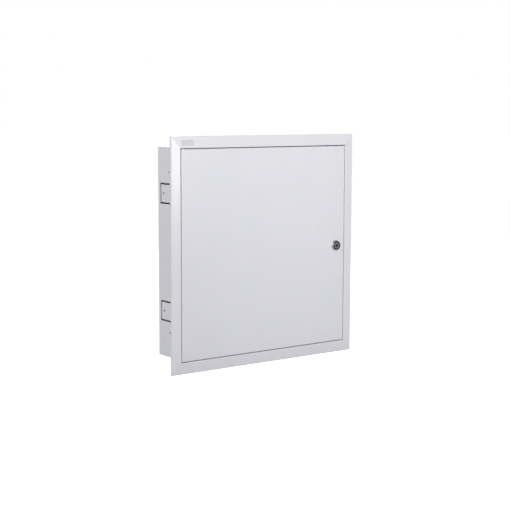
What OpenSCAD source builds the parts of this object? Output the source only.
// Flush wall enclosure for modular switchgear: a folded steel box that is built into the wall,
// a mitred trim frame with a concealed-hinge door, a key lock, and the rail chassis inside.
// The front faces -Y and the outer back face lies on Y = 0, centred on X = 0, Z = 0.

/* [Wall box] */
// Outside width of the box
box_w = 525; // [420:1:620]
// Outside height of the box
box_h = 538; // [440:1:640]
// Depth of the box from its front rim to its outer back face
box_depth = 90; // [80:1:130]
// Thickness of the steel sheet of box, frame, door, chassis and covers
sheet = 1.5; // [1:0.1:2]
// Outer radius of the folded edges
bend_r = 2.2; // [2.1:0.1:3]
// Width of the front rim, measured in from the box's outside
rim_w = 12; // [11:0.5:14]

/* [Trim frame] */
// Face width of the two stiles
stile_w = 27.5; // [20:0.5:40]
// Face width of the top and bottom rails
rail_w = 30; // [20:0.5:40]
// Depth of the outer lip that meets the wall, from the frame's front plane
frame_lip = 8; // [5:0.5:10]
// How far the frame's outer edge lies behind its inner edge
frame_bevel = 2; // [0:0.5:2.5]
// Depth of the rebate from the frame's face to the box rim
rebate_depth = 25; // [23:0.5:32]
// Width of the rebate lip that lies on the box rim
rebate_lip = 13; // [12:0.5:14]
// How far the opening passes the box at each side
opening_over_x = 4; // [1:0.5:5]
// How far the opening passes the box at top and bottom, on average
opening_over_z = 1; // [0.5:0.5:3]
// How far the frame's centre lies below the box's centre
frame_drop = 3; // [0:0.5:3]
// Joint line left at each mitre
mitre_gap = 0.3; // [0.2:0.1:0.6]

/* [Door] */
// Gap between door and frame at both sides
door_gap_side = 1.6; // [1.6:0.1:3]
// Gap above the door
door_gap_top = 2; // [2:0.1:4]
// Gap below the door
door_gap_bottom = 1.8; // [1.7:0.1:4]
// Depth of the door's folded edges
door_fold = 15; // [12:0.5:17]
// Distance from the hinge axis to the door's hinge-side edge
hinge_edge = 9; // [8:0.5:12]
// Distance from the hinge axis to the door's face
hinge_set = 6; // [5.8:0.1:7]
// Radius of the hinge pins
pin_r = 2.5; // [2:0.1:3]
// Height of the hat-shaped door stiffeners
stiffener_h = 12; // [8:0.5:14]

/* [Lock] */
// Distance from the lock axis to the door's free edge
lock_edge = 29.5; // [24:0.5:34]
// How far the lock axis lies below the frame's centre
lock_drop = 3; // [-40:1:40]
// Radius of the lock head at the door
lock_head_r = 14.2; // [12:0.1:16]
// Radius of the lock head at its front
lock_face_r = 11.4; // [10:0.1:11.8]
// How far the lock head stands out
lock_head_h = 7; // [5:0.5:9]
// Radius of the turning cylinder
plug_r = 6; // [5:0.1:6.4]
// Thickness of the cam
cam_t = 2; // [1.5:0.1:2.5]

/* [Anchor claws] */
// Distance from the claw's centre line to the box's top or bottom
claw_inset = 118; // [80:1:180]
// Distance between the centre lines of a claw's two long cuts
claw_h = 49; // [30:1:60]
// Length of the claw
claw_l = 56; // [40:1:60]
// Distance from the claw's free end to the outer back face
claw_back = 14; // [10:0.5:20]
// Width of the cuts
claw_cut = 4.2; // [2:0.1:5]
// Distance from the claw's hole to its free end
claw_hole_back = 13.5; // [9:0.5:20]
// Radius of the hole in each claw
claw_hole_r = 3; // [2:0.1:4]

/* [Fixing holes] */
// Distance from the wall holes to the box's sides
wall_hole_x = 72.5; // [60:0.5:90]
// Distance from the wall holes to the box's top and bottom
wall_hole_z = 39; // [36:0.5:41]
// Radius of the wall holes
wall_hole_r = 3.5; // [2.5:0.1:4.5]
// Distance from the side holes to the box's top and bottom
side_hole_z = 63.5; // [50:0.5:80]
// Distance from the side holes to the outer back face
side_hole_back = 53; // [40:0.5:60]
// Radius of the side holes
side_hole_r = 2.5; // [2:0.1:3.5]

/* [Rails and covers] */
// Depth from the cover's front to the rail's front lips
rail_depth = 47; // [44:0.5:50]
// Overall height of a rail's profile
din_w = 35; // [35:35]
// Depth of a rail's profile
din_h = 7.5; // [7.5:0.5:15]
// Width of one module
module_w = 17.5; // [17.5:0.5:18]
// Height of the slots in the covers
slot_h = 46; // [45:0.5:48]
// Clearance left around the covers inside the rim
cover_gap = 1.5; // [1:0.5:3]
// Depth from the rim's back to the covers, where the lock's cam turns
cam_room = 7; // [6.5:0.5:12]
// Folded depth of a cover's long edges
cover_fold = 10; // [6:0.5:14]

/* [Cable entries] */
// Size of the entry opening along X
entry_w = 380; // [200:1:400]
// Size of the entry opening along Y
entry_d = 50; // [40:1:56]
// Overlap of the entry plate around its opening
entry_lap = 10; // [8:0.5:11]
// Radius of the holes for the grommets
grommet_r = 12.5; // [8:0.5:14]
// Spacing of the grommets
grommet_pitch = 44; // [34:1:60]

/* [Terminal bars] */
// Length of a terminal bar
bar_l = 260; // [160:10:280]
// Height of a bar's section
bar_h = 12; // [10:0.5:13]
// Depth of a bar's section
bar_d = 9; // [8:0.5:10]
// Spacing of the terminals
terminal_pitch = 10; // [9:0.5:12]
// Distance from a bar's centre line to the box's top or bottom
bar_inset = 26; // [20:0.5:27]
// Depth of the holders behind a bar
holder_d = 27; // [20:1:30]

/* [Hidden] */
$fn = 48;
eps = 0.01;
fit = 0.05;        // radial clearance of a pin, plug or spigot in its bore
seat = 0.3;        // clearance of a piece that closes or turns against another body
row_count = 4;

// Depth planes, all counted from the outer back face towards the front
rim_y = -box_depth;
front_y = rim_y - rebate_depth;
back_y = -sheet;
rim_back_y = rim_y + sheet;
lip_y = rim_y - sheet;
cover_y = rim_back_y + cam_room;
flange_y = cover_y + sheet;
rail_front_y = cover_y + rail_depth;
rail_back_y = rail_front_y + din_h;

// Trim frame and door
opening_w = box_w + 2 * opening_over_x;
opening_h = box_h + 2 * opening_over_z;
frame_w = opening_w + 2 * stile_w;
frame_h = opening_h + 2 * rail_w;
door_w = opening_w - 2 * door_gap_side;
door_top = -frame_drop + opening_h / 2 - door_gap_top;
door_bottom = -frame_drop - opening_h / 2 + door_gap_bottom;
door_h = door_top - door_bottom;
door_mid = (door_top + door_bottom) / 2;
door_in_y = front_y + sheet;
door_edge_y = front_y + door_fold;
hinge_x = -door_w / 2 + hinge_edge;
hinge_y = front_y + hinge_set;
bush_r = pin_r + 1.4;
pin_past = 2 * sheet + 3;   // how far a hinge pin passes the edge of the opening
frame_top = -frame_drop + opening_h / 2;
frame_bottom = -frame_drop - opening_h / 2;

// Screws between rebate lip and box rim
clip_w = 5.8;
frame_screw_x = box_w / 2 - bend_r - clip_w / 2;
frame_screw_top = (box_h / 2 - rim_w + frame_top) / 2;
frame_screw_bottom = clip_w / 2 + bend_r - box_h / 2;
frame_screw_r = 2;
stile_screws = [-180, -60, 60, 180];
rail_screws_at = [-160, 0, 160];
stile_reach = (box_h / 2 - 65) / 204;
rail_reach = (box_w / 2 - 60) / 202.5;

// Lock
lock_x = door_w / 2 - lock_edge;
lock_z = -frame_drop - lock_drop;
barrel_r = 9.5;
barrel_flat = 8;
cam_y = rim_back_y + 0.7;
cam_reach = box_w / 2 - sheet - lock_x - 1.8;
cam_w = 14;
tang = 7;
cam_screw_r = 2;

// Chassis, rails and covers
cover_w = box_w - 2 * rim_w - 2 * cover_gap;
web_x = cover_w / 2 - 13;
row_pitch = (box_h - 2 * rim_w - 14) / row_count;
cover_h = row_pitch - 1;
rail_l = 2 * web_x - 32;
module_count = floor((rail_l - 18) / module_w);
slot_w = module_count * module_w + 1;
tab_l = 25;
tab_h = 40;
rail_screw_x = rail_l / 2 - 5.5;
stud_r = 3;
stud_clear = 8;      // room between a stud's tip and the tab of the upright in front of it
stud_x = web_x - sheet - 10.5;
stud_z = 1.5 * row_pitch + 12.5;
stud_l = back_y - rail_back_y - sheet - stud_clear;
cover_screw_x = cover_w / 2 - 6.5;
cover_screw_z = cover_h / 2 - 14;
upright_h = row_count * row_pitch;

// Cable entries and terminal bars
entry_y = -box_depth / 2;
grommet_count = floor((entry_w - 2 * grommet_r) / grommet_pitch);
bar_z = box_h / 2 - bar_inset;
bar_y = back_y - holder_d - bar_d;
terminal_count = floor((bar_l - 40) / terminal_pitch);
holder_x = bar_l / 2 - 8;

// ---------- shared shapes ----------

// Turns a shape built along +Z so that it points to the front
module to_front() {
  rotate([90, 0, 0]) children();
}

// Turns a shape built along +Z so that it points to the back
module to_back() {
  rotate([-90, 0, 0]) children();
}

// Outline on X and Y whose back corners, at Y = 0, are rounded
module fold_outline(w, d, r) {
  difference() {
    translate([-w / 2, -d]) square([w, d]);
    for (s = [-1, 1]) translate([s * w / 2, 0]) corner_waste(r);
  }
}

// What a rounded corner at the origin leaves over, for all four ways round
module corner_waste(r) {
  difference() {
    square(2 * r, center = true);
    for (x = [-r, r], y = [-r, r]) translate([x, y]) circle(r);
  }
}

// Block with its back edges rounded like folded sheet
module fold_block(w, h, d, r) {
  intersection() {
    linear_extrude(h, center = true) fold_outline(w, d, r);
    rotate([0, 90, 0]) linear_extrude(w, center = true) fold_outline(h, d, r);
  }
}

// Straight slot with round ends, centred, along X
module slot_outline(length, width) {
  square([length - width, width], center = true);
  for (s = [-1, 1]) translate([s * (length - width) / 2, 0]) circle(width / 2);
}

// Rectangle with round corners, centred
module round_rect(w, h, r) {
  difference() {
    square([w, h], center = true);
    for (x = [-1, 1], y = [-1, 1]) translate([x * w / 2, y * h / 2]) corner_waste(r);
  }
}

// Pan-head screw: its seat lies at Z = 0, the head rises to +Z and the shank runs down
module pan_screw(r, shank, head_r = 0) {
  head = max(head_r, 1.8 * r);
  rise = 1.15 * r;
  edge = 0.4 * r;
  difference() {
    union() {
      rotate_extrude() {
        square([head, rise - edge]);
        translate([0, rise - edge - eps]) square([head - edge, edge + eps]);
        translate([head - edge, rise - edge]) circle(edge, $fn = 24);
      }
      translate([0, 0, -shank]) cylinder(h = shank + eps, r = r);
    }
    for (a = [0, 90]) rotate(a)
      translate([0, 0, rise]) cube([1.4 * head, 0.45 * r, 0.9 * r], center = true);
  }
}

// Hexagon nut with a chamfered outline, standing on Z = 0
module hex_nut(across, height, hole_r) {
  difference() {
    intersection() {
      cylinder(h = height, r = across / sqrt(3), $fn = 6);
      translate([0, 0, -eps]) cylinder(h = height + 2 * eps, r1 = 0.58 * across + 0.6, r2 = 0.53 * across);
    }
    translate([0, 0, -1]) cylinder(h = height + 2, r = hole_r);
  }
}

// ---------- wall box ----------

// U-shaped cut that frees an anchor claw; the free end points to the back
module claw_outline() {
  back = -claw_back;
  for (s = [-1, 1]) {
    translate([back - claw_l / 2, s * claw_h / 2]) slot_outline(claw_l + claw_cut, claw_cut);
    translate([back, s * claw_h / 2]) circle(0.62 * claw_cut);
  }
  translate([back, 0]) square([claw_cut, claw_h], center = true);
  translate([back - claw_hole_back, 0]) circle(claw_hole_r);
}

module back_box() color("whitesmoke") difference() {
  fold_block(box_w, box_h, box_depth, bend_r);
  translate([0, -sheet, 0]) fold_block(box_w - 2 * sheet, box_h - 2 * sheet, box_depth, bend_r - sheet);
  // anchor claws and side holes, through both side walls
  rotate([0, 0, 90]) rotate([90, 0, 0]) linear_extrude(2 * box_w, center = true) {
    for (s = [-1, 1]) {
      translate([0, s * (box_h / 2 - claw_inset)]) claw_outline();
      translate([-side_hole_back, s * (box_h / 2 - side_hole_z)]) circle(side_hole_r);
    }
  }
  // cable entries through top and bottom
  translate([0, entry_y, 0]) linear_extrude(2 * box_h, center = true) round_rect(entry_w, entry_d, 4);
  for (x = [-1, 0, 1], y = [-1, 1])
    translate([x * entry_screw_x(), entry_y + y * entry_screw_y(), 0])
      cylinder(h = 2 * box_h, r = 2.2, center = true);
  // wall holes
  for (x = [-1, 1], z = [-1, 1])
    translate([x * (box_w / 2 - wall_hole_x), 1, z * (box_h / 2 - wall_hole_z)])
      to_front() cylinder(h = sheet + 2, r = wall_hole_r);
}

// Flat rim welded into the mouth of the box; the trim frame is screwed to it
module box_rim() color("whitesmoke") difference() {
  translate([0, rim_back_y, 0]) to_front() linear_extrude(sheet) difference() {
    square([box_w - 2 * sheet, box_h - 2 * sheet], center = true);
    square([box_w - 2 * rim_w, box_h - 2 * rim_w], center = true);
  }
  at_frame_screws() translate([0, rim_back_y + 1, 0]) to_front() cylinder(h = sheet + 2, r = frame_screw_r + 0.3);
}

function entry_screw_x() = entry_w / 2 + entry_lap;
function entry_screw_y() = entry_d / 2 + entry_lap / 2;

// Entry plate as seen from its outer side, lying on Z = 0
module entry_plate() {
  difference() {
    linear_extrude(sheet) round_rect(entry_w + 4 * entry_lap, entry_d + 2 * entry_lap, 3);
    at_grommets() translate([0, 0, -1]) cylinder(h = sheet + 2, r = grommet_r);
    for (x = [-1, 0, 1], y = [-1, 1])
      translate([x * entry_screw_x(), y * entry_screw_y(), -1]) cylinder(h = sheet + 2, r = 2.2);
  }
}

module at_grommets() {
  for (i = [0 : grommet_count - 1])
    translate([(i - (grommet_count - 1) / 2) * grommet_pitch, 0, 0]) children();
}

// Membrane grommet in a plate that lies on Z = 0: two collars, a stepped cone and a thin skin
module grommet() {
  collar = grommet_r + 2.6;
  rotate_extrude() difference() {
    polygon([
      [0, -2.2], [collar - 1, -2.2], [collar, -1.2], [collar, -0.1], [grommet_r - 0.1, -0.1],
      [grommet_r - 0.1, sheet + 0.1], [collar, sheet + 0.1], [collar - 0.4, sheet + 1.6],
      [grommet_r - 2, sheet + 2.6], [grommet_r - 4, sheet + 6.5], [0, sheet + 6.5]
    ]);
    polygon([
      [0, -3], [grommet_r - 2.2, -3], [grommet_r - 3.4, sheet + 1], [grommet_r - 5.6, sheet + 5.3],
      [0, sheet + 5.3]
    ]);
  }
}

module on_top() {
  translate([0, entry_y, box_h / 2]) children();
}

module on_bottom() {
  translate([0, entry_y, -box_h / 2]) mirror([0, 0, 1]) children();
}

module top_entry_plate() color("gainsboro") on_top() entry_plate();
module bottom_entry_plate() color("gainsboro") on_bottom() entry_plate();
module top_grommets() color("dimgray") on_top() at_grommets() grommet();
module bottom_grommets() color("dimgray") on_bottom() at_grommets() grommet();

module plate_screws() {
  for (x = [-1, 0, 1], y = [-1, 1])
    translate([x * entry_screw_x(), y * entry_screw_y(), sheet]) pan_screw(2, sheet + 4.5);
}

module entry_plate_screws() color("silver") {
  on_top() plate_screws();
  on_bottom() plate_screws();
}

// ---------- trim frame ----------

function arc(x, y, r, from, to) = [
  for (i = [0 : 5]) let (a = from + (to - from) * i / 5) [x + r * cos(a), y + r * sin(a)]
];

// Section of a frame member: X runs inwards from the outer edge, Y backwards from the front plane.
// The face slopes back to the outer edge, and both of its folds are round.
module member_section(face_w) {
  slope = atan(frame_bevel / face_w);
  outer_y = (bend_r / cos(slope)) + frame_bevel * (1 - bend_r / face_w);
  inner_y = (bend_r / cos(slope)) + frame_bevel * bend_r / face_w;
  inner_r = bend_r - sheet;
  polygon(concat(
    [[0, frame_lip]],
    arc(bend_r, outer_y, bend_r, 180, 270 - slope),
    arc(face_w - bend_r, inner_y, bend_r, 270 - slope, 360),
    [
      [face_w, rebate_depth - sheet], [face_w + rebate_lip, rebate_depth - sheet],
      [face_w + rebate_lip, rebate_depth], [face_w - sheet, rebate_depth]
    ],
    arc(face_w - bend_r, inner_y, inner_r, 360, 270 - slope),
    arc(bend_r, outer_y, inner_r, 270 - slope, 180),
    [[sheet, frame_lip]]
  ));
}

// Front outline of one member between its mitres, s = +1 for the top and right ones
module member_outline(half_l, half_open, face_w, other_face) {
  g = mitre_gap / 2;
  polygon([
    [-half_l + g, half_open + face_w], [half_l - g, half_open + face_w],
    [half_l - other_face - g, half_open], [half_l - other_face - rebate_lip - g, half_open - rebate_lip],
    [-half_l + other_face + rebate_lip + g, half_open - rebate_lip], [-half_l + other_face + g, half_open]
  ]);
}

// Upright member at the left, before its screw holes
module stile() {
  intersection() {
    translate([-frame_w / 2, front_y, -frame_h / 2]) linear_extrude(frame_h) member_section(stile_w);
    to_front() linear_extrude(2 * box_depth) rotate(90)
      member_outline(frame_h / 2, opening_w / 2, stile_w, rail_w);
  }
}

// Top member, before its screw holes
module rail() {
  intersection() {
    translate([-frame_w / 2, front_y, frame_h / 2]) rotate([0, 90, 0])
      linear_extrude(frame_w) member_section(rail_w);
    to_front() linear_extrude(2 * box_depth)
      member_outline(frame_w / 2, opening_h / 2, rail_w, stile_w);
  }
}

module at_frame_screws() {
  for (s = [-1, 1]) {
    for (z = stile_screws)
      translate([s * frame_screw_x, 0, z * stile_reach - frame_drop]) children();
    for (x = rail_screws_at)
      translate([x * rail_reach, 0, s > 0 ? frame_screw_top : frame_screw_bottom]) children();
  }
}

module frame_screw_holes() {
  at_frame_screws() translate([0, rim_y + 1, 0]) to_front() cylinder(h = sheet + 2, r = frame_screw_r + 0.3);
}

module bush_hole() {
  translate([hinge_x, hinge_y, 0]) cylinder(h = 2 * box_h, r = bush_r + fit, center = true);
}

module frame_left_stile() color("whitesmoke") difference() {
  translate([0, 0, -frame_drop]) stile();
  frame_screw_holes();
}

module frame_right_stile() color("whitesmoke") difference() {
  translate([0, 0, -frame_drop]) mirror([1, 0, 0]) stile();
  frame_screw_holes();
}

module frame_top_rail() color("whitesmoke") difference() {
  translate([0, 0, -frame_drop]) rail();
  frame_screw_holes();
  bush_hole();
}

module frame_bottom_rail() color("whitesmoke") difference() {
  translate([0, 0, -frame_drop]) mirror([0, 0, 1]) rail();
  frame_screw_holes();
  bush_hole();
}

// L-shaped plates behind the mitres, welded to both members, each with a notch for a hinge bush
module frame_corner_gussets() color("lightgray") {
  arm = 62;
  clear = 0.8;
  for (x = [-1, 1], z = [-1, 1]) translate([0, door_in_y + frame_bevel, -frame_drop]) mirror([x < 0 ? 1 : 0, 0, 0])
    mirror([0, 0, z < 0 ? 1 : 0]) to_back() linear_extrude(sheet) mirror([0, 1]) difference() {
      translate([frame_w / 2 - arm, frame_h / 2 - arm])
        square([arm - sheet - clear, arm - sheet - clear]);
      translate([frame_w / 2 - arm - 1, frame_h / 2 - arm - 1])
        square([arm + 1 - stile_w + sheet + clear, arm + 1 - rail_w + sheet + clear]);
      translate([-hinge_x, opening_h / 2]) square(2 * [bush_r + 1, pin_past + 1], center = true);
    }
}

module frame_screws() color("silver") at_frame_screws() translate([0, lip_y, 0])
  to_front() pan_screw(frame_screw_r, 2 * sheet + 4);

// Clip nuts behind the box rim
module frame_clip_nuts() color("darkgray") at_frame_screws() translate([0, rim_back_y, 0]) to_back()
  difference() {
    linear_extrude(2.4) round_rect(clip_w, clip_w, 0.8);
    translate([0, 0, -1]) cylinder(h = 5, r = frame_screw_r + fit);
  }

// Nylon bush with a rectangular collar: the collar lies on Z = 0 and the spigot runs up
module hinge_bush(collar_h) {
  difference() {
    union() {
      translate([0, 0, -collar_h]) linear_extrude(collar_h)
        translate([0, 0.6]) round_rect(4 * bush_r, 2 * bush_r + 2.2, 1);
      cylinder(h = sheet + 3, r = bush_r);
    }
    cylinder(h = 30, r = pin_r + fit, center = true);
  }
}

module upper_hinge_bush() color("black")
  translate([hinge_x, hinge_y, frame_top]) hinge_bush(door_gap_top / 2);

module lower_hinge_bush() color("black")
  translate([hinge_x, hinge_y, frame_bottom]) mirror([0, 0, 1]) hinge_bush(door_gap_bottom - seat);

// Rubber strips on the rebate lip near the free edge, which the closing door meets
module door_buffers() color("black") {
  length = 37;
  height = rebate_lip - 2;
  thick = lip_y - door_edge_y - seat;
  for (s = [-1, 1])
    translate([lock_x + 1, lip_y, -frame_drop + s * (opening_h / 2 - height / 2 - 0.4)])
      to_front() linear_extrude(thick) round_rect(length, height, 1.5);
}

// ---------- chassis, rails and covers ----------

function row_z(i) = (1.5 - i) * row_pitch;

// Right-hand upright: a Z-shaped fold with a tab and a window at each rail
module upright() {
  difference() {
    linear_extrude(upright_h, center = true) {
      translate([web_x - sheet, cover_y + sheet]) square([sheet, -cover_y - 2 * sheet]);
      translate([web_x - sheet, flange_y]) square([cover_w / 2 - web_x + sheet, sheet]);
      translate([stud_x - 10, back_y - sheet]) square([web_x - stud_x + 10, sheet]);
    }
    for (i = [0 : row_count - 1]) {
      translate([web_x - 2 * sheet, rail_back_y - tab_l, row_z(i) - tab_h / 2])
        cube([4 * sheet, tab_l, tab_h]);
      for (s = [-1, 1]) translate([cover_screw_x, flange_y - 1, row_z(i) + s * cover_screw_z])
        to_back() cylinder(h = sheet + 2, r = 2.8);
    }
    for (i = [0 : row_count - 2]) translate([web_x, cover_y / 2, row_z(i) - row_pitch / 2])
      rotate([90, 0, 90]) linear_extrude(6 * sheet, center = true) slot_outline(40, 22);
    for (s = [-1, 1]) translate([stud_x, back_y - sheet - 1, s * stud_z])
      to_back() cylinder(h = sheet + 2, r = stud_r + 0.3);
  }
  for (i = [0 : row_count - 1]) difference() {
    translate([web_x - tab_l, rail_back_y, row_z(i) - tab_h / 2]) cube([tab_l, sheet, tab_h]);
    translate([rail_screw_x, rail_back_y - 1, row_z(i)]) to_back() cylinder(h = sheet + 2, r = 2.5 + fit);
  }
}

module chassis_right_upright() color("lightgray") upright();
module chassis_left_upright() color("lightgray") mirror([1, 0, 0]) upright();

module at_studs() {
  for (x = [-1, 1], z = [-1, 1]) translate([x * stud_x, back_y, z * stud_z]) to_front() children();
}

module chassis_studs() color("silver") at_studs() cylinder(h = stud_l, r = stud_r);
module chassis_nuts() color("silver") at_studs() translate([0, 0, sheet]) hex_nut(10, 5, stud_r + fit);

// Top-hat rail with long holes, centred on its screw line
module din_rail(i) {
  t = 1;
  base = 27;
  color("silver") translate([0, 0, row_z(i)]) difference() {
    rotate([0, 90, 0]) linear_extrude(rail_l, center = true) {
      translate([-base / 2, rail_back_y - t]) square([base, t]);
      for (s = [-1, 1]) {
        translate([s * (base - t) / 2 - t / 2, rail_front_y]) square([t, din_h]);
        translate([s * (din_w + base - 2 * t) / 4 - (din_w - base + 2 * t) / 4, rail_front_y])
          square([(din_w - base + 2 * t) / 2, t]);
      }
    }
    for (k = [-1, 1]) translate([k * rail_screw_x, rail_back_y - 2 * t, 0])
      to_back() cylinder(h = 3 * t, r = 2.5 + fit);
    last_slot = floor((rail_screw_x - 12) / 25);
    for (k = [-last_slot : last_slot]) translate([25 * k, rail_back_y - 2 * t, 0])
      to_back() linear_extrude(3 * t) slot_outline(15, 6.2);
  }
}

module din_rail_1() din_rail(0);
module din_rail_2() din_rail(1);
module din_rail_3() din_rail(2);
module din_rail_4() din_rail(3);

module rail_screws() color("silver")
  for (i = [0 : row_count - 1], k = [-1, 1])
    translate([k * rail_screw_x, rail_back_y - 1, row_z(i)]) to_front() pan_screw(2.5, sheet + 5.5);

// Cover panel with a slot for one row of modules, long edges folded back
module cover_row(i) {
  color("whitesmoke") translate([0, cover_y, row_z(i)]) difference() {
    union() {
      to_back() linear_extrude(sheet) round_rect(cover_w, cover_h, 1);
      for (s = [-1, 1]) translate([0, cover_fold / 2, s * (cover_h - sheet) / 2])
        cube([2 * (web_x - 2 * sheet), cover_fold, sheet], center = true);
      for (s = [-1, 1]) translate([0, 2.5, s * (slot_h + sheet) / 2])
        cube([slot_w + 2 * sheet, 5, sheet], center = true);
      for (s = [-1, 1]) translate([s * (slot_w + sheet) / 2, 2.5, 0])
        cube([sheet, 5, slot_h + 2 * sheet], center = true);
    }
    translate([0, -1, 0]) to_back() linear_extrude(sheet + 8) square([slot_w, slot_h], center = true);
    for (x = [-1, 1], z = [-1, 1]) translate([x * cover_screw_x, -1, z * cover_screw_z])
      to_back() cylinder(h = sheet + 2, r = 2.8);
  }
}

module cover_row_1() cover_row(0);
module cover_row_2() cover_row(1);
module cover_row_3() cover_row(2);
module cover_row_4() cover_row(3);

// Quarter-turn fastener: slotted flat head, neck and cross wings behind the flange
module quarter_turn() {
  r = 2.5;
  rise = 1.04 * r;
  reach = 2 * sheet + 3;
  difference() {
    cylinder(h = rise, r1 = 2.08 * r, r2 = 1.84 * r);
    translate([0, 0, rise]) cube([5 * r, 0.52 * r, 0.96 * r], center = true);
  }
  translate([0, 0, -reach]) cylinder(h = reach + eps, r = r);
  translate([0, 0, -reach]) linear_extrude(0.8 * r) square([3.6, 1.2] * r, center = true);
}

module cover_screws() color("dimgray")
  for (i = [0 : row_count - 1], x = [-1, 1], z = [-1, 1])
    translate([x * cover_screw_x, cover_y, row_z(i) + z * cover_screw_z]) to_front() quarter_turn();

// ---------- terminal bars and earth stud ----------

module at_terminals() {
  for (i = [0 : terminal_count - 1])
    translate([(i - (terminal_count - 1) / 2) * terminal_pitch, bar_y, 0]) children();
}

// Bar with a cable hole and a screw hole at each terminal, at height z
module terminal_bar(z) {
  color("goldenrod") translate([0, 0, z]) difference() {
    translate([-bar_l / 2, bar_y, -bar_h / 2]) cube([bar_l, bar_d, bar_h]);
    at_terminals() {
      translate([0, bar_d * 0.6, 0]) cylinder(h = 2 * bar_h, r = 2.6, center = true);
      translate([0, -1, 0]) to_back() cylinder(h = bar_d * 0.6 + 1, r = 2.1);
    }
    for (s = [-1, 1]) translate([s * holder_x, -1 + bar_y, 0]) to_back() cylinder(h = bar_d + 2, r = 2.1);
  }
}

module earth_bar() terminal_bar(bar_z);
module neutral_bar() terminal_bar(-bar_z);

module bar_holders(z) {
  for (s = [-1, 1]) translate([s * holder_x, back_y, z]) to_front() difference() {
    union() {
      linear_extrude(3) round_rect(14, 26, 2);
      linear_extrude(holder_d) round_rect(11, bar_h + 1, 1.5);
    }
    translate([0, 0, holder_d - 9]) cylinder(h = 10, r = 2.1);
  }
}

module earth_bar_holders() color("darkseagreen") bar_holders(bar_z);
module neutral_bar_holders() color("steelblue") bar_holders(-bar_z);

// Slotted clamping screws, and the two that hold the bar on its holders
module bar_screws(z) {
  translate([0, 0, z]) {
    at_terminals() to_front() translate([0, 0, -2.6]) difference() {
      cylinder(h = 5.2, r = 2);
      translate([0, 0, 5.2]) cube([5, 0.8, 2], center = true);
    }
    for (s = [-1, 1]) translate([s * holder_x, bar_y, 0]) to_front() pan_screw(2, bar_d + 7);
  }
}

module earth_bar_screws() color("silver") bar_screws(bar_z);
module neutral_bar_screws() color("silver") bar_screws(-bar_z);

earth_stud_x = -bar_l / 2 - 38;

module earth_stud() color("goldenrod") translate([earth_stud_x, back_y, -bar_z])
  to_front() cylinder(h = 20, r = stud_r);

module earth_stud_nuts() color("goldenrod") translate([earth_stud_x, back_y, -bar_z]) to_front() {
  difference() {
    cylinder(h = 1.2, r = 6.5);
    translate([0, 0, -1]) cylinder(h = 4, r = stud_r + fit);
  }
  translate([0, 0, 1.2]) hex_nut(10, 4.5, stud_r + fit);
  translate([0, 0, 9]) hex_nut(10, 4.5, stud_r + fit);
}

// ---------- door ----------

module door_leaf() color("whitesmoke") difference() {
  translate([0, front_y, door_mid]) mirror([0, 1, 0]) difference() {
    fold_block(door_w, door_h, door_fold, bend_r);
    translate([0, -sheet, 0]) fold_block(door_w - 2 * sheet, door_h - 2 * sheet, door_fold, bend_r - sheet);
  }
  // relief between the folds at each corner
  for (x = [-1, 1], z = [-1, 1])
    translate([x * (door_w / 2 - sheet - 0.5), door_edge_y, door_mid + z * door_h / 2])
      cube([1, 2 * (door_fold - bend_r - 1), 2 * sheet + 1], center = true);
  translate([hinge_x, hinge_y, 0]) cylinder(h = 2 * box_h, r = pin_r + fit, center = true);
  translate([lock_x, front_y - 1, lock_z]) to_back() intersection() {
    cylinder(h = sheet + 2, r = barrel_r + fit);
    translate([-barrel_r - 1, -barrel_flat - fit, 0])
      cube([2 * barrel_r + 2, 2 * barrel_flat + 2 * fit, sheet + 2]);
  }
}

// Hat-shaped stiffener on the inside of the door
module stiffener(x) {
  crown = 30;
  foot = 14;
  length = door_h - 60;
  color("whitesmoke") translate([x, door_in_y, door_mid]) linear_extrude(length, center = true) {
    for (s = [-1, 1]) {
      translate([s * (crown + foot) / 2 - foot / 2, 0]) square([foot, sheet]);
      translate([s * (crown - sheet) / 2 - sheet / 2, 0]) square([sheet, stiffener_h]);
    }
    translate([-crown / 2, stiffener_h - sheet]) square([crown, sheet]);
  }
}

module door_left_stiffener() stiffener(-door_w / 4);
module door_right_stiffener() stiffener(door_w / 4);

plate_t = 3;

// Reinforcing plate inside the door's corner, under the upper fold (Z = 0)
module hinge_plate() {
  depth = 11;
  translate([0, 0, -plate_t]) difference() {
    translate([-hinge_edge + sheet + 0.4, -hinge_set + sheet + 0.4, 0]) cube([24, depth, plate_t]);
    translate([0, 0, -1]) cylinder(h = plate_t + 2, r = pin_r + fit);
  }
}

// Headed pin: its head lies under the plate and its shank runs up through the frame
module hinge_pin(gap) {
  tip = gap + pin_past;
  translate([0, 0, -sheet - plate_t]) {
    translate([0, 0, -pin_r]) cylinder(h = pin_r, r = bush_r);
    cylinder(h = sheet + plate_t + tip - 0.8, r = pin_r);
    translate([0, 0, sheet + plate_t + tip - 0.8]) cylinder(h = 0.8, r1 = pin_r, r2 = pin_r - 0.8);
  }
}

module upper_hinge_plate() color("lightgray")
  translate([hinge_x, hinge_y, door_top - sheet]) hinge_plate();
module lower_hinge_plate() color("lightgray")
  translate([hinge_x, hinge_y, door_bottom + sheet]) mirror([0, 0, 1]) hinge_plate();
module upper_hinge_pin() color("silver")
  translate([hinge_x, hinge_y, door_top]) hinge_pin(door_gap_top);
module lower_hinge_pin() color("silver")
  translate([hinge_x, hinge_y, door_bottom]) mirror([0, 0, 1]) hinge_pin(door_gap_bottom);

// Copper-plated stud with its nut, for the door's earth lead
module door_earth_stud() color("goldenrod")
  translate([hinge_x + 22, door_in_y, door_bottom + 34]) to_back() {
    cylinder(h = 11, r = 2.5);
    hex_nut(8, 3.2, 2.5 - eps);
  }

// ---------- lock ----------

module at_lock() {
  translate([lock_x, front_y, lock_z]) children();
}

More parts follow.
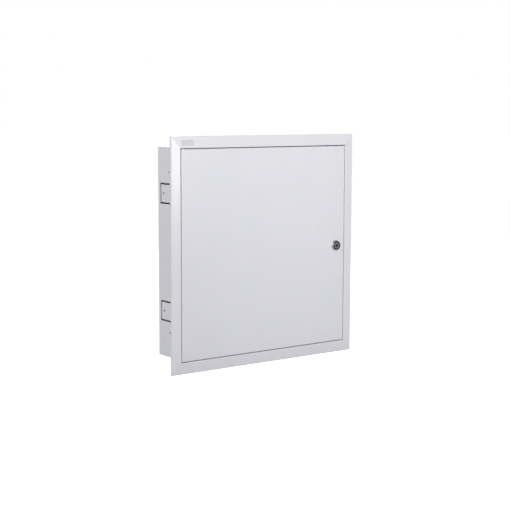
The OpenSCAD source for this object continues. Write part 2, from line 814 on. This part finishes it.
// Tapered chrome head in front of the door and flatted barrel behind it
module lock_body() color("silver") at_lock() difference() {
  union() {
    to_front() rotate_extrude() polygon([
      [0, 0], [lock_head_r, 0], [lock_head_r, 1], [lock_head_r - 0.5, 1.8],
      [lock_face_r + 0.7, lock_head_h - 0.9], [lock_face_r + 0.2, lock_head_h - 0.25],
      [lock_face_r - 0.5, lock_head_h], [plug_r + 2.6, lock_head_h], [plug_r + 1.8, lock_head_h - 1],
      [0, lock_head_h - 1]
    ]);
    to_back() intersection() {
      cylinder(h = cam_y - front_y - seat, r = barrel_r);
      translate([-barrel_r - 1, -barrel_flat, 0])
        cube([2 * barrel_r + 2, 2 * barrel_flat, cam_y - front_y]);
    }
  }
  rotate([90, 0, 0]) cylinder(h = 4 * box_depth, r = plug_r + fit, center = true);
}

module lock_nut() color("silver") at_lock() translate([0, sheet, 0]) to_back()
  hex_nut(25, 4, barrel_r + fit);

// Plug with the keyway in its face and a square tang for the cam
module lock_cylinder() color("gray") at_lock() difference() {
  union() {
    translate([0, cam_y - front_y, 0]) to_front()
      cylinder(h = cam_y - front_y + lock_head_h - 0.6, r = plug_r);
    translate([0, cam_y - front_y + cam_t / 2, 0]) cube([tang, cam_t + eps, tang], center = true);
  }
  translate([0, -lock_head_h, 0]) to_back() {
    translate([0, 0, -1]) linear_extrude(12) {
      square([1.5, 8.4], center = true);
      translate([0, 2]) square([2.6, 2.2], center = true);
    }
  }
  translate([0, cam_y - front_y + cam_t + 1, 0]) to_front() cylinder(h = 10, r = cam_screw_r + fit);
}

// Cam with a round hub and an arm that points up when unlocked
module lock_cam() color("silver") translate([lock_x, cam_y, lock_z]) to_back() linear_extrude(cam_t)
  mirror([0, 1]) difference() {
    union() {
      circle(9);
      intersection() {
        circle(cam_reach);
        translate([-cam_w / 2, 0]) square([cam_w, cam_reach]);
      }
    }
    square(tang + 2 * fit, center = true);
  }

module cam_screw() color("silver") translate([lock_x, cam_y + cam_t, lock_z]) to_back()
  pan_screw(cam_screw_r, 7, 2.3 * cam_screw_r);

back_box();
box_rim();
top_entry_plate();
bottom_entry_plate();
top_grommets();
bottom_grommets();
entry_plate_screws();
frame_left_stile();
frame_right_stile();
frame_top_rail();
frame_bottom_rail();
frame_corner_gussets();
frame_screws();
frame_clip_nuts();
upper_hinge_bush();
lower_hinge_bush();
door_buffers();
chassis_left_upright();
chassis_right_upright();
chassis_studs();
chassis_nuts();
din_rail_1();
din_rail_2();
din_rail_3();
din_rail_4();
rail_screws();
cover_row_1();
cover_row_2();
cover_row_3();
cover_row_4();
cover_screws();
earth_bar();
neutral_bar();
earth_bar_holders();
neutral_bar_holders();
earth_bar_screws();
neutral_bar_screws();
earth_stud();
earth_stud_nuts();
door_leaf();
door_left_stiffener();
door_right_stiffener();
upper_hinge_plate();
lower_hinge_plate();
upper_hinge_pin();
lower_hinge_pin();
door_earth_stud();
lock_body();
lock_nut();
lock_cylinder();
lock_cam();
cam_screw();
